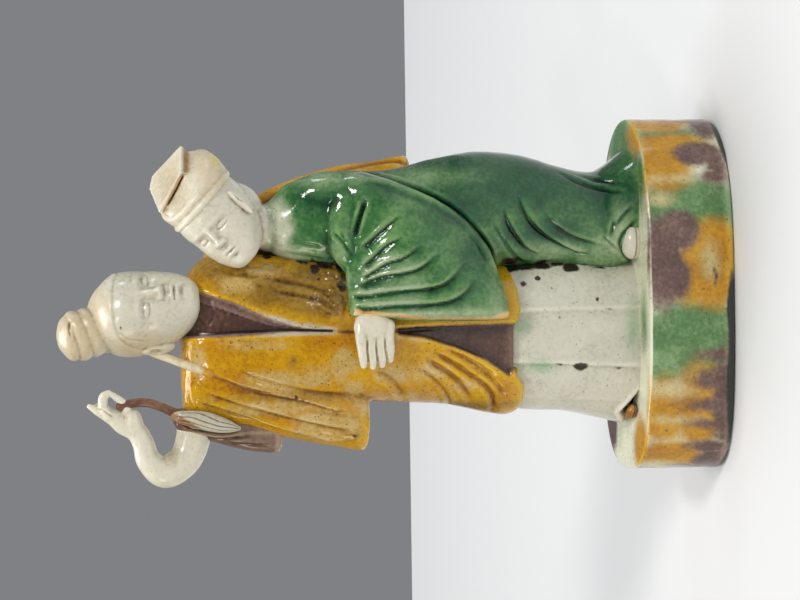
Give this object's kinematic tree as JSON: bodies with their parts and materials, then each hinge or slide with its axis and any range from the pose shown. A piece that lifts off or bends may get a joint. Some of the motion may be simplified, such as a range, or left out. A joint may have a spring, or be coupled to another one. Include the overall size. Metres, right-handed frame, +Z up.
{
  "type": "couple figurine",
  "caption": "Glazed porcelain group of a standing lady with a raised fly whisk, embraced by a smaller man, on an oval plinth.",
  "frame": {"origin": "middle of the plinth's flat underside", "axes": "+Z up, the figures' front faces -Y, +X towards the man's side"},
  "size_m": [0.1118, 0.058, 0.2045],
  "materials": {
    "figure_glaze": "amber, green, aubergine and cream lead glazes over biscuit porcelain, with bare satin heads and hands",
    "plinth_glaze": "mottled amber, green, aubergine and cream lead glazes with drips and pits",
    "biscuit": "cream biscuit porcelain under a thin satin glaze"
  },
  "bodies": {
    "root": {"couple": "figure_glaze", "plinth": "plinth_glaze"}
  },
  "joints": []
}
